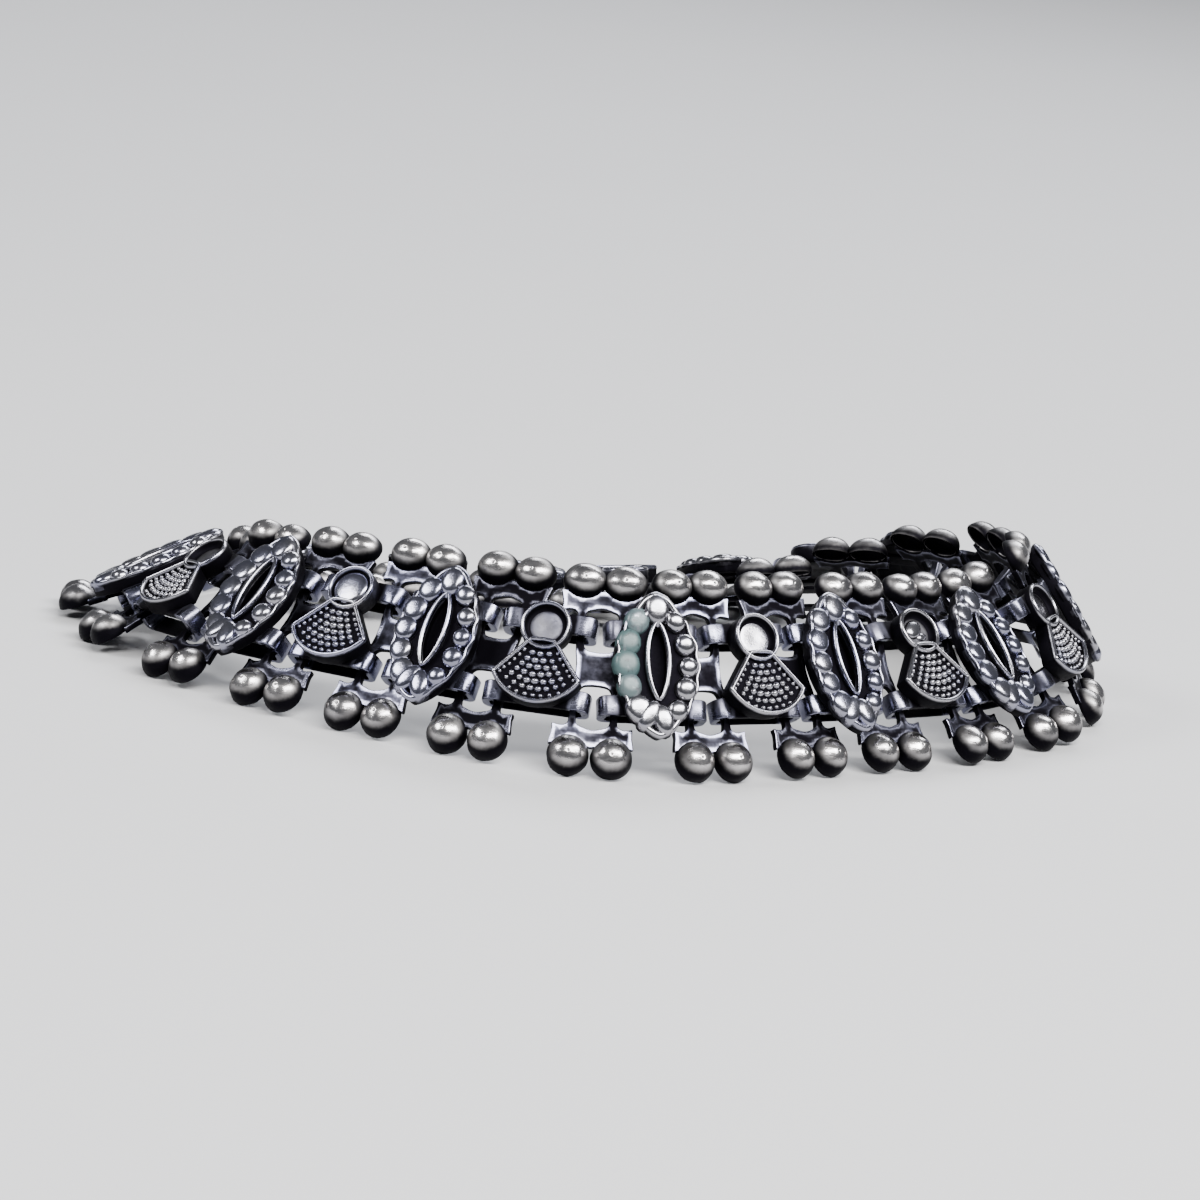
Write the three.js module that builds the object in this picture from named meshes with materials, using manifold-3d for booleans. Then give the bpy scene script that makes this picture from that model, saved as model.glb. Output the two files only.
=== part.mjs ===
// Chain bracelet of cast, oxidised silver-coloured links, lying on its long edge.
// Millimetres, +Z up. The origin is under the middle of the bracelet, on the surface it lies on.
//
// Two kinds of link take turns round the loop. A ball link is a flat frame with two windows and
// a pair of hollow domes at each end. A motif link, a leaf or a fan, stands proud on two closed
// strips, and each strip runs round one window bar of the ball link on either side of it.
// One plain clasp closes the loop at the back.
// A link's own axes are: x along the band, y across it and upwards, z out of its face.

import * as THREE from 'three';
import { mergeVertices } from 'three/addons/utils/BufferGeometryUtils.js';
import Module from 'manifold-3d';

const wasm = await Module();
wasm.setup();

// ---- The loop -------------------------------------------------------------------------------

const BALL_LINKS = 22;
const PITCH = 8.2; // from one ball link to the next, at half height
const CLASP_PITCH = 15.5; // between the two ball links that the clasp joins
const CLASP_AFTER = BALL_LINKS - 2; // the ball link before the clasp, counted from 0
const START = 17.1; // from the first row below to the first ball link
const LOOP = [
  // x, y: the band at half height, seen from above. lean: degrees that its top leans inwards
  { x: -30.0, y: 7.5, lean: 71 },
  { x: -34.7, y: 0.2, lean: 69 },
  { x: -26.7, y: -15.4, lean: 48 },
  { x: 0.6, y: -28.1, lean: 32 },
  { x: 21.6, y: -16.8, lean: 39 },
  { x: 32.7, y: -5.6, lean: 45 },
  { x: 37.3, y: 2.6, lean: 33 },
  { x: 34.8, y: 12.7, lean: 40 },
  { x: 21.3, y: 20.0, lean: 58 },
  { x: -0.3, y: 17.1, lean: 80 },
  { x: -22.9, y: 12.9, lean: 80 },
  { x: -26.6, y: 11.7, lean: 79 },
];
const LOOP_STEPS = 600; // steps of the curve that distances are measured on

// ---- The ball link --------------------------------------------------------------------------

const BALL_ROW = 6.9; // from half height to the centres of the domes
const LOWER_DOME = 1.6; // radius
const UPPER_DOME = 1.5; // radius
const DOME_SKIN = 0.38; // wall of a hollow dome
const DOME_APART = 0.04; // half the gap between the two domes of a pair
const DOME_BACK = -0.1; // z of a dome's open rim
const DOME_SIDES = 10;
const HOLLOW_SIDES = 5;
const FRAME_HALF = 0.25; // half the thickness of the flat frame
const BAR_X = 1.58; // middle of each window bar
const BAR_HALF = 0.27; // half the width of a window bar
const WINDOW_LOW = 1.35; // the waist's edge
const WINDOW_HIGH = 4.5; // the saddle's edge
const WINDOW_ARCH = 0.35; // rise of that edge between the bars
const SADDLE_HALF = 3.0; // half the width of a saddle
const SADDLE_LOW = 4.7; // where its flared ends start
const SADDLE_HIGH = 5.65; // its outer edge, inside the walls of the domes

// ---- The motif links ------------------------------------------------------------------------

const STRIP_Y = 2.95; // height of each strip's middle
const STRIP_TALL = 1.3;
const STRIP_WALL = 0.3;
const STRIP_FRONT = 0.65; // wall of its front strand, which carries the body
const STRIP_PLAY = 0.3; // clear space between a strip and the bar in it
const BACK_Z = 1.15; // back of a motif's body

const LEAF_LONG = 5.65; // half length
const LEAF_WIDE = 3.3; // half width
const LENS_FULLNESS = 0.74; // 0.5 is an ellipse, 1 is a parabola with sharper tips
const LEAF_GROUND = 2.1; // z of the ground between the lumps
const LEAF_BEADS = 5; // down each side
const LEAF_BEAD = 0.7; // radius
const BEAD_PITCH = 1.72;
const BEAD_INSET = 0.2; // from the leaf's edge to a bead
const LEAF_LOBE = 0.6; // radius of the lobe at each tip
const LOBE_Y = 4.65;
const LUMP_TOP = 2.77; // z
const LUMP_SIDES = 5;
const EYE_Y = 0.3; // its middle
const EYE_LONG = 2.75; // half length of the slit
const EYE_WIDE = 0.72; // half width of the slit
const EYE_RIDGE = 0.3; // width of the ridge round it
const EYE_TOP = 2.65; // z
const EYE_FLOOR = 1.55; // z

const FAN_RIM = 2.65; // z of the raised wire
const FAN_FIELD = 2.25; // z of the field inside it
const FAN_WIRE = 0.36; // width of the wire
const FAN_ARC = 3.9; // radius of the fan's lower edge
const FAN_ARC_Y = -0.15; // centre of that edge
const FAN_SPREAD = 63; // degrees to either side of straight down
const FAN_STEPS = 6;
const FAN_NECK = 0.95; // half width where the fan meets the cup
const FAN_NECK_Y = 1.2;
const CUP_Y = 2.2;
const CUP_RADIUS = 1.95;
const CUP_FLOOR = 2.0; // z
const CUP_SLOPE = 0.15; // how far the bowl's wall leans in
const CUP_SIDES = 12;

// ---- The clasp ------------------------------------------------------------------------------

const CLASP_Y = -STRIP_Y; // height of the windows that it hooks through
const CLASP_THICK = 1.1; // of its plain bar
const CLASP_TALL = 0.9;
const CLASP_SINK = 0.27; // from the play in each end to the end of the bar's middle line

// ---- Materials ------------------------------------------------------------------------------

const silver = () => new THREE.MeshStandardMaterial({ color: 0xb4b6ba, roughness: 0.32, metalness: 1 });
const darkSilver = () => new THREE.MeshStandardMaterial({ color: 0x8c8e93, roughness: 0.4, metalness: 1 });

// ---- Solids ---------------------------------------------------------------------------------

/** The solid of one closed three.js geometry. */
function solid(geometry) {
  const bare = geometry.clone();
  bare.deleteAttribute('normal');
  bare.deleteAttribute('uv');
  const merged = mergeVertices(bare, 1e-4);
  const vertProperties = new Float32Array(merged.attributes.position.array);
  const triVerts = new Uint32Array(merged.index.array);
  return new wasm.Manifold(new wasm.Mesh({ numProp: 3, vertProperties, triVerts }));
}

/** The three.js geometry of a solid. */
function geometryOf(body) {
  const mesh = body.getMesh();
  const geometry = new THREE.BufferGeometry();
  geometry.setAttribute('position', new THREE.BufferAttribute(mesh.vertProperties, 3));
  geometry.setIndex(new THREE.BufferAttribute(mesh.triVerts, 1));
  return geometry;
}

/** A plate with the outline and holes given as lists of [x, y], from z = low to z = high. */
function plateGeometry(outline, low, high, holes = []) {
  const shape = new THREE.Shape(outline.map(([x, y]) => new THREE.Vector2(x, y)));
  for (const hole of holes) {
    shape.holes.push(new THREE.Path(hole.map(([x, y]) => new THREE.Vector2(x, y))));
  }
  const geometry = new THREE.ExtrudeGeometry(shape, { depth: high - low, bevelEnabled: false });
  geometry.translate(0, 0, low);
  return geometry;
}

/** The same plate as a solid. */
function plate(outline, low, high) {
  return solid(plateGeometry(outline, low, high));
}

/** A round form that stands along z, turned from a profile of [radius, z] that ends on the axis. */
function turned(profile, sides, x, y) {
  const points = profile.map(([radius, z]) => new THREE.Vector2(radius, z));
  const geometry = new THREE.LatheGeometry(points, sides);
  geometry.rotateX(Math.PI / 2);
  geometry.translate(x, y, 0);
  return solid(geometry);
}

/** Joins a list of solids. */
function join(bodies) {
  return bodies.reduce((sum, body) => sum.add(body));
}

/** Half the width of a lens at a height, as a share of the most. */
function lensWidth(share) {
  return (1 - share * share) ** LENS_FULLNESS;
}

/** The outline of a lens with pointed ends, one above the other. */
function lens(long, wide, steps, y = 0) {
  const outline = [];
  for (let i = 0; i < 2 * steps; i += 1) {
    const side = i < steps ? 1 : -1;
    const share = (2 * (i % steps)) / steps - 1;
    outline.push([side * wide * lensWidth(share), y + side * long * share]);
  }
  return outline;
}

// ---- The ball link --------------------------------------------------------------------------

/** One dome, still solid. */
function dome(radius, x, y) {
  const profile = [[0, DOME_BACK], [radius, DOME_BACK], [0.8 * radius, 0.6 * radius], [0, radius]];
  return turned(profile, DOME_SIDES, x, y);
}

/** The hollow of a dome, open at the back. */
function domeHollow(radius, x, y) {
  const inner = radius - DOME_SKIN;
  const profile = [[0, DOME_BACK - 1], [inner, DOME_BACK - 1], [inner, DOME_BACK], [0, inner]];
  return turned(profile, HOLLOW_SIDES, x, y);
}

/** The flat frame: a saddle at each end, and two windows with a waist between them. */
function frame() {
  const quarter = [
    [BAR_X + BAR_HALF, WINDOW_HIGH],
    [SADDLE_HALF, SADDLE_LOW],
    [SADDLE_HALF, SADDLE_HIGH],
  ];
  const right = [...quarter.map(([x, y]) => [x, -y]).reverse(), ...quarter];
  const outline = [...right, ...right.map(([x, y]) => [-x, -y])];
  const inside = BAR_X - BAR_HALF;
  const window = [
    [-inside, WINDOW_LOW],
    [inside, WINDOW_LOW],
    [inside, WINDOW_HIGH],
    [0, WINDOW_HIGH + WINDOW_ARCH],
    [-inside, WINDOW_HIGH],
  ];
  const lowerWindow = window.map(([x, y]) => [x, -y]).reverse();
  return solid(plateGeometry(outline, -FRAME_HALF, FRAME_HALF, [window, lowerWindow]));
}

/** A whole ball link. */
function ballLink() {
  const domes = [];
  const hollows = [];
  for (const [radius, y] of [[LOWER_DOME, -BALL_ROW], [UPPER_DOME, BALL_ROW]]) {
    for (const x of [-(radius + DOME_APART), radius + DOME_APART]) {
      domes.push(dome(radius, x, y));
      hollows.push(domeHollow(radius, x, y));
    }
  }
  return join([frame(), ...domes]).subtract(join(hollows));
}

// ---- The motif links ------------------------------------------------------------------------

/** A raised lump of the leaf's relief, flat on top. */
function lump(radius, x, y) {
  const foot = LEAF_GROUND - 0.2;
  return turned([[0, foot], [radius, foot], [0.6 * radius, LUMP_TOP], [0, LUMP_TOP]], LUMP_SIDES, x, y);
}

/** The leaf: a lens with a lobe at each tip, beads down each side, and an eye sunk in a ridge. */
function leafBody() {
  const body = plate(lens(LEAF_LONG, LEAF_WIDE, 6), BACK_Z, LEAF_GROUND);
  const eyeLens = (grow, steps) => lens(EYE_LONG + 1.5 * grow, EYE_WIDE + grow, steps, EYE_Y);
  const ridge = plate(eyeLens(EYE_RIDGE, 4), BACK_Z + 0.1, EYE_TOP);
  const slit = plate(eyeLens(0, 3), EYE_FLOOR, EYE_TOP + 1);
  const lumps = [-1, 1].map((end) => lump(LEAF_LOBE, 0, end * LOBE_Y));
  for (const side of [-1, 1]) {
    for (let i = 0; i < LEAF_BEADS; i += 1) {
      const y = (i - (LEAF_BEADS - 1) / 2) * BEAD_PITCH;
      const edge = 0.95 * LEAF_WIDE * lensWidth(y / LEAF_LONG);
      lumps.push(lump(LEAF_BEAD, side * (edge - LEAF_BEAD - BEAD_INSET), y));
    }
  }
  return join([body, ridge, ...lumps]).subtract(slit);
}

/** The outline of the fan, grown by a margin. */
function fanOutline(margin) {
  const outline = [];
  for (let i = 0; i <= FAN_STEPS; i += 1) {
    const angle = THREE.MathUtils.degToRad(FAN_SPREAD * ((2 * i) / FAN_STEPS - 1));
    const radius = FAN_ARC + margin;
    outline.push([radius * Math.sin(angle), FAN_ARC_Y - radius * Math.cos(angle)]);
  }
  outline.push([FAN_NECK + margin, FAN_NECK_Y]);
  outline.push([-FAN_NECK - margin, FAN_NECK_Y]);
  return outline;
}

/** The fan: a cup over a fan, with a raised wire round both. */
function fanBody() {
  const above = FAN_RIM + 0.5;
  const inside = CUP_RADIUS - FAN_WIRE;
  const cupProfile = [[0, BACK_Z], [CUP_RADIUS, BACK_Z], [CUP_RADIUS, FAN_RIM], [0, FAN_RIM]];
  const bowlProfile = [[0, CUP_FLOOR], [inside - CUP_SLOPE, CUP_FLOOR], [inside, above], [0, above]];
  const cup = turned(cupProfile, CUP_SIDES, 0, CUP_Y);
  const bowl = turned(bowlProfile, CUP_SIDES, 0, CUP_Y);
  const fan = plate(fanOutline(0), BACK_Z, FAN_RIM);
  const field = plate(fanOutline(-FAN_WIRE), FAN_FIELD, above);
  return fan.subtract(field).add(cup).subtract(bowl);
}

const BODIES = { leaf: leafBody(), fan: fanBody() };

/** The room that a window bar takes up in another link's frame, with play on the window's side. */
function barRoom(side, height, toOther) {
  const room = new THREE.Box3();
  for (const x of [BAR_X - BAR_HALF - STRIP_PLAY, BAR_X + BAR_HALF]) {
    for (const y of [height - STRIP_TALL / 2, height + STRIP_TALL / 2]) {
      for (const z of [-FRAME_HALF - STRIP_PLAY, FRAME_HALF + STRIP_PLAY]) {
        room.expandByPoint(new THREE.Vector3(side * x, y, z).applyMatrix4(toOther));
      }
    }
  }
  return room;
}

/** A closed strip at a height, round the room for the bars that it holds. */
function strip(height, { min, max }, front) {
  const outline = [
    [min.x - STRIP_WALL, -max.z - front],
    [max.x + STRIP_WALL, -max.z - front],
    [max.x + STRIP_WALL, -min.z + STRIP_WALL],
    [min.x - STRIP_WALL, -min.z + STRIP_WALL],
  ];
  const hole = [[min.x, -max.z], [max.x, -max.z], [max.x, -min.z], [min.x, -min.z]];
  const geometry = plateGeometry(outline, -STRIP_TALL / 2, STRIP_TALL / 2, [hole]);
  geometry.rotateX(-Math.PI / 2);
  geometry.translate(0, height, 0);
  return geometry;
}

/** A whole motif link, between the ball links whose places are given. */
function motifLink(kind, place, before, after) {
  const toMotif = place.clone().invert();
  const strips = [-STRIP_Y, STRIP_Y].map((height) => {
    const room = barRoom(1, height, toMotif.clone().multiply(before));
    room.union(barRoom(-1, height, toMotif.clone().multiply(after)));
    return solid(strip(height, room, STRIP_FRONT));
  });
  return join([BODIES[kind], ...strips]);
}

/** The clasp: a plain bar between two closed ends, each round a window bar of its ball link. */
function clasp(place, before, after) {
  const toClasp = place.clone().invert();
  const parts = [];
  const feet = [];
  for (const [side, neighbour] of [[1, before], [-1, after]]) {
    const toHere = toClasp.clone().multiply(neighbour);
    const room = barRoom(side, CLASP_Y, new THREE.Matrix4());
    room.expandByPoint(new THREE.Vector3(side * (BAR_X + BAR_HALF + STRIP_PLAY), CLASP_Y, 0));
    parts.push(solid(strip(CLASP_Y, room, STRIP_WALL).applyMatrix4(toHere)));
    const reach = BAR_X + BAR_HALF + STRIP_PLAY + CLASP_SINK;
    feet.push(new THREE.Vector3(side * reach, CLASP_Y, 0).applyMatrix4(toHere));
  }
  const along = feet[1].clone().sub(feet[0]);
  const bar = new THREE.BoxGeometry(along.length(), CLASP_TALL, CLASP_THICK);
  const turn = new THREE.Quaternion().setFromUnitVectors(new THREE.Vector3(1, 0, 0), along.normalize());
  const middle = feet[0].clone().add(feet[1]).multiplyScalar(0.5);
  bar.applyMatrix4(new THREE.Matrix4().compose(middle, turn, new THREE.Vector3(1, 1, 1)));
  return join([...parts, solid(bar)]);
}

// ---- The loop -------------------------------------------------------------------------------

/** The closed curve through the rows of LOOP, with its lean carried as z. */
const curve = new THREE.CatmullRomCurve3(
  LOOP.map(({ x, y, lean }) => new THREE.Vector3(x, y, lean)), true, 'catmullrom', 0.5);
const samples = curve.getPoints(LOOP_STEPS);
const lengths = [0];
for (let i = 1; i < samples.length; i += 1) {
  lengths.push(lengths[i - 1] + Math.hypot(samples[i].x - samples[i - 1].x, samples[i].y - samples[i - 1].y));
}
const CURVE_LENGTH = lengths[LOOP_STEPS];
const LOOP_LENGTH = (BALL_LINKS - 1) * PITCH + CLASP_PITCH;

/** The point of the curve at a distance along the loop, in plan, with its lean as z. */
function pointAt(distance) {
  const wanted = THREE.MathUtils.euclideanModulo((distance / LOOP_LENGTH) * CURVE_LENGTH, CURVE_LENGTH);
  const i = Math.max(1, lengths.findIndex((length) => length >= wanted));
  const part = (wanted - lengths[i - 1]) / (lengths[i] - lengths[i - 1]);
  return samples[i - 1].clone().lerp(samples[i], part);
}

/** About how high a link's middle is when it leans at an angle in radians and stands on the ground. */
function heightOf(lean) {
  return (BALL_ROW + LOWER_DOME) * Math.cos(lean) - DOME_BACK * Math.sin(lean);
}

/** The place of a ball link at a distance along the loop. */
function ballPlace(distance) {
  const point = pointAt(distance);
  const lean = THREE.MathUtils.degToRad(point.z);
  const ahead = pointAt(distance + 0.5);
  const behind = pointAt(distance - 0.5);
  const along = ahead.clone().sub(behind);
  along.z = heightOf(THREE.MathUtils.degToRad(ahead.z)) - heightOf(THREE.MathUtils.degToRad(behind.z));
  along.normalize();
  const outwards = new THREE.Vector3(along.y, -along.x, 0).normalize();
  const upwards = new THREE.Vector3(0, 0, Math.cos(lean)).addScaledVector(outwards, -Math.sin(lean));
  upwards.addScaledVector(along, -upwards.dot(along)).normalize();
  const face = new THREE.Vector3().crossVectors(along, upwards);
  const place = new THREE.Matrix4().makeBasis(along, upwards, face);
  const rimDrop = LOWER_DOME * Math.sqrt(1 - face.z * face.z);
  const lowest = [-1, 1].map((side) => {
    const rim = new THREE.Vector3(side * (LOWER_DOME + DOME_APART), -BALL_ROW, DOME_BACK);
    return rim.applyMatrix4(place).z - rimDrop;
  });
  return place.setPosition(point.x, point.y, -Math.min(...lowest));
}

/** The place of a motif link: midway between the bars that its strips run round. */
function motifPlace(before, after) {
  const bars = [-STRIP_Y, STRIP_Y].flatMap((y) => [
    new THREE.Vector3(BAR_X, y, 0).applyMatrix4(before),
    new THREE.Vector3(-BAR_X, y, 0).applyMatrix4(after),
  ]);
  const middle = bars.reduce((sum, bar) => sum.add(bar), new THREE.Vector3()).multiplyScalar(1 / bars.length);
  const turns = [before, after].map((place) => new THREE.Quaternion().setFromRotationMatrix(place));
  const turn = turns[0].slerp(turns[1], 0.5);
  return new THREE.Matrix4().compose(middle, turn, new THREE.Vector3(1, 1, 1));
}

/** A named mesh at its place on the loop. */
function link(name, body, place, material) {
  const mesh = new THREE.Mesh(geometryOf(body), material);
  mesh.name = name;
  mesh.applyMatrix4(place);
  return mesh;
}

const twoDigits = (number) => String(number).padStart(2, '0');
const distances = Array.from({ length: BALL_LINKS }, (_, i) => START + i * PITCH);
distances[BALL_LINKS - 1] = START + LOOP_LENGTH - PITCH;
const ballPlaces = distances.map(ballPlace);

const bracelet = new THREE.Group();
bracelet.name = 'bracelet';
const ballBody = ballLink();
for (let i = 0; i < BALL_LINKS; i += 1) {
  const number = twoDigits(i + 1);
  const before = ballPlaces[i];
  const after = ballPlaces[(i + 1) % BALL_LINKS];
  const between = motifPlace(before, after);
  const kind = i % 2 ? 'leaf' : 'fan';
  bracelet.add(link(`ball_link_${number}`, ballBody, before, silver()));
  if (i === CLASP_AFTER) {
    bracelet.add(link('clasp', clasp(between, before, after), between, silver()));
  } else {
    const body = motifLink(kind, between, before, after);
    bracelet.add(link(`${kind}_link_${number}`, body, between, darkSilver()));
  }
}

const middle = new THREE.Box3().setFromObject(bracelet, true).getCenter(new THREE.Vector3());
bracelet.position.set(-middle.x, -middle.y, 0);
const group = new THREE.Group();
group.add(bracelet);

export default group;
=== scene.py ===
"""A chain bracelet of oxidised silver-coloured links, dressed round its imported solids.

Lengths are in millimetres until a piece is made, and in metres from then on. A link's own axes
are x along the band, y across it and upwards, and z out of its face.
"""

import logging
import math
from collections.abc import Callable, Iterable, Sequence
from dataclasses import dataclass, field, replace
from enum import Enum
from typing import Any

import bpy
import numpy as np
from mathutils import Matrix, Vector, noise
from mathutils.geometry import delaunay_2d_cdt
from numpy.random import Generator, default_rng


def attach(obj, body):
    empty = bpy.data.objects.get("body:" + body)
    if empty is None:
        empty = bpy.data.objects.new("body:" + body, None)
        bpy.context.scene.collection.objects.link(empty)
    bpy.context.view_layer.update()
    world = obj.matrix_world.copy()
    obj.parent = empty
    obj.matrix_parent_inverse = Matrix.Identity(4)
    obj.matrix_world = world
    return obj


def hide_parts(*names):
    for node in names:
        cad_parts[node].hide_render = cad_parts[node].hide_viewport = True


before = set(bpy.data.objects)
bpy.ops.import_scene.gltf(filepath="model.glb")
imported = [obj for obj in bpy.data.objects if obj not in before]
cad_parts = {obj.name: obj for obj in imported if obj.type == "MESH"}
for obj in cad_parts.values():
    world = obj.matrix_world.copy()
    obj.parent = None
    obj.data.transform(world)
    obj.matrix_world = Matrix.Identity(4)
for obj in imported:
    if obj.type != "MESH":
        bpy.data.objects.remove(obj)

Pair = tuple[float, float]
Triple = tuple[float, float, float]
Colour = tuple[float, float, float, float]
Socket = bpy.types.NodeSocket

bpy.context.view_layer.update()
MILLIMETRE = 0.001

log = logging.getLogger("bracelet")


def stand(made: bpy.types.Object) -> bpy.types.Object:
    """Links a new object into the scene."""
    bpy.context.scene.collection.objects.link(made)
    return made


# ---- Camera ----


@dataclass
class Camera:
    """The camera, low in front of the bracelet and slightly rolled."""

    target: Triple = (0.85, 2.69, 5.88)  # the point that it looks at, in millimetres
    distance: float = 400.0  # from the target to the lens, in millimetres
    elevation: float = 13.67  # above the surface, in degrees
    roll: float = 6.64  # turn about its own line of sight, in degrees
    lens: float = 148.3  # focal length, in millimetres
    sensor: float = 36.0  # width of the sensor, in millimetres
    clip: Pair = (0.01, 20.0)  # nearest and farthest that it sees, in metres

    def build(self) -> None:
        """Makes the camera and sets it as the scene's camera."""
        tilt, roll = math.radians(self.elevation), math.radians(self.roll)
        forward = Vector((0, math.cos(tilt), -math.sin(tilt)))
        level_up = Vector((0, math.sin(tilt), math.cos(tilt)))
        side = Vector((1, 0, 0))
        right = side * math.cos(roll) + level_up * math.sin(roll)
        up = level_up * math.cos(roll) - side * math.sin(roll)
        data = bpy.data.cameras.new("camera")
        data.lens = self.lens
        data.sensor_width = self.sensor
        data.clip_start, data.clip_end = self.clip
        place = Matrix((right, up, -forward)).transposed().to_4x4()
        place.translation = (Vector(self.target) - forward * self.distance) * MILLIMETRE
        camera = stand(bpy.data.objects.new("camera", data))
        camera.matrix_world = place
        bpy.context.scene.camera = camera


# ---- The loop ----


@dataclass(frozen=True)
class BallFrame:
    """Sizes of a ball link's frame that its neighbours and the loop go by."""

    row: float = 6.9  # from half height to the centres of the domes
    dome: float = 1.6  # radius of the lower domes
    apart: float = 0.04  # half the gap between the two domes of a pair
    back: float = -0.1  # z of a dome's open rim
    thick: float = 0.25  # half the thickness of the frame
    bar_in: float = 1.31  # from the middle to the inner side of a window bar
    bar_out: float = 1.85  # from the middle to its outer side
    strap_y: float = 2.95  # height of the straps that run round the bars

    @property
    def bar_x(self) -> float:
        """Middle of a bar."""
        return (self.bar_in + self.bar_out) / 2

    @property
    def bar_half(self) -> float:
        """Half the width of a bar."""
        return (self.bar_out - self.bar_in) / 2


BALL = BallFrame()


@dataclass
class Loop:
    """Where every link of the closed band stands, measured as the solids are."""

    # x, y of the band at half height, and the lean of its top inwards in degrees
    rows: tuple[Triple, ...] = (
        (-30.0, 7.5, 71), (-34.7, 0.2, 69), (-26.7, -15.4, 48), (0.6, -28.1, 32),
        (21.6, -16.8, 39), (32.7, -5.6, 45), (37.3, 2.6, 33), (34.8, 12.7, 40),
        (21.3, 20.0, 58), (-0.3, 17.1, 80), (-22.9, 12.9, 80), (-26.6, 11.7, 79),
    )
    ball_links: int = 22
    pitch: float = 8.2  # from one ball link to the next
    clasp_pitch: float = 15.5  # between the two ball links that the clasp joins
    start: float = 17.1  # from the first row to the first ball link
    steps: int = 600  # steps of the curve that distances are measured on
    middle: Pair = (-0.03803, -2.69093)  # of the band's box, which moves onto the origin
    length: float = field(init=False)
    samples: list[Vector] = field(init=False, default_factory=list)
    lengths: list[float] = field(init=False, default_factory=list)

    def __post_init__(self) -> None:
        """Samples the closed curve through the rows."""
        self.length = (self.ball_links - 1) * self.pitch + self.clasp_pitch
        self.samples = [self._curve(i / self.steps) for i in range(self.steps + 1)]
        self.lengths = [0.0]
        for last, here in zip(self.samples, self.samples[1:]):
            self.lengths.append(self.lengths[-1] + (here.xy - last.xy).length)

    def _curve(self, share: float) -> Vector:
        """The point in plan, with the lean as z, at a share of the curve.

        Args:
            share: From 0 to 1 round the loop.

        Returns:
            The point.
        """
        count = len(self.rows)
        whole = min(int(share * count), count)
        part = share * count - whole
        before, start, end, after = (Vector(self.rows[(whole + k) % count]) for k in (-1, 0, 1, 2))
        leave = (end - before) / 2
        arrive = (after - start) / 2
        square = (end - start) * 3 - leave * 2 - arrive
        cube = (start - end) * 2 + leave + arrive
        return start + leave * part + square * part**2 + cube * part**3

    def _point(self, distance: float) -> Vector:
        """The point in plan, with the lean as z, at a distance.

        Args:
            distance: Along the loop.

        Returns:
            The point.
        """
        total = self.lengths[-1]
        wanted = (distance / self.length * total) % total
        i = max(1, int(np.searchsorted(self.lengths, wanted)))
        part = (wanted - self.lengths[i - 1]) / (self.lengths[i] - self.lengths[i - 1])
        return self.samples[i - 1].lerp(self.samples[i], part)

    def _height(self, lean: float) -> float:
        """About how high a link's middle is at a lean in degrees."""
        angle = math.radians(lean)
        return (BALL.row + BALL.dome) * math.cos(angle) - BALL.back * math.sin(angle)

    def ball_place(self, number: int) -> Matrix:
        """The place of a ball link.

        Args:
            number: Of the ball link, counted from 1.

        Returns:
            Its place, in millimetres.
        """
        distance = self.start + (number - 1) * self.pitch
        if number == self.ball_links:
            distance = self.start + self.length - self.pitch
        point = self._point(distance)
        ahead, behind = self._point(distance + 0.5), self._point(distance - 0.5)
        lean = math.radians(point.z)
        along = ahead - behind
        along.z = self._height(ahead.z) - self._height(behind.z)
        along.normalize()
        outwards = Vector((along.y, -along.x, 0)).normalized()
        upwards = Vector((0, 0, math.cos(lean))) - outwards * math.sin(lean)
        upwards = (upwards - along * upwards.dot(along)).normalized()
        face = along.cross(upwards)
        turn = Matrix((along, upwards, face)).transposed()
        drop = BALL.dome * math.sqrt(1 - face.z**2)
        rims = [Vector((side * (BALL.dome + BALL.apart), -BALL.row, BALL.back))
                for side in (-1, 1)]
        lowest = min((turn @ rim).z - drop for rim in rims)
        place = turn.to_4x4()
        place.translation = (point.x - self.middle[0], point.y - self.middle[1], -lowest)
        return place

    def motif_place(self, before: Matrix, after: Matrix) -> Matrix:
        """The place of the piece between two ball links.

        Args:
            before: Place of the ball link before it.
            after: Place of the ball link after it.

        Returns:
            Its place, midway between the bars that its straps run round.
        """
        bars = []
        for y in (-BALL.strap_y, BALL.strap_y):
            bars.append(before @ Vector((BALL.bar_x, y, 0)))
            bars.append(after @ Vector((-BALL.bar_x, y, 0)))
        middle = sum(bars, Vector()) / len(bars)
        turn = before.to_quaternion().slerp(after.to_quaternion(), 0.5)
        return Matrix.Translation(middle) @ turn.to_matrix().to_4x4()


# ---- Meshes ----


@dataclass
class Shell:
    """One skin of a piece."""

    points: np.ndarray  # its points, in the link's own axes
    faces: list[tuple[int, ...]]  # its faces, as indices of points
    wear: np.ndarray  # 0 in a recess that keeps its oxide, 1 on metal rubbed bright; low values on the domes' lower sides, the frames' bars and the straps' middles are partly painted shade
    finish: int = 0  # index of its finish on the piece
    verdigris: float = 0.0  # 1 where the green bloom has grown

    def moved(self, place: Matrix) -> "Shell":
        """The same skin moved to another place."""
        return replace(self, points=carried(self.points, place))


def carried(points: np.ndarray, place: Matrix) -> np.ndarray:
    """Points of some axes carried to the place of those axes."""
    return points @ np.array(place.to_3x3()).T + np.array(place.translation)


def level(flat: np.ndarray, z: float) -> np.ndarray:
    """Points of the plane at one height."""
    return np.column_stack([flat, np.full(len(flat), z)])


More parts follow.
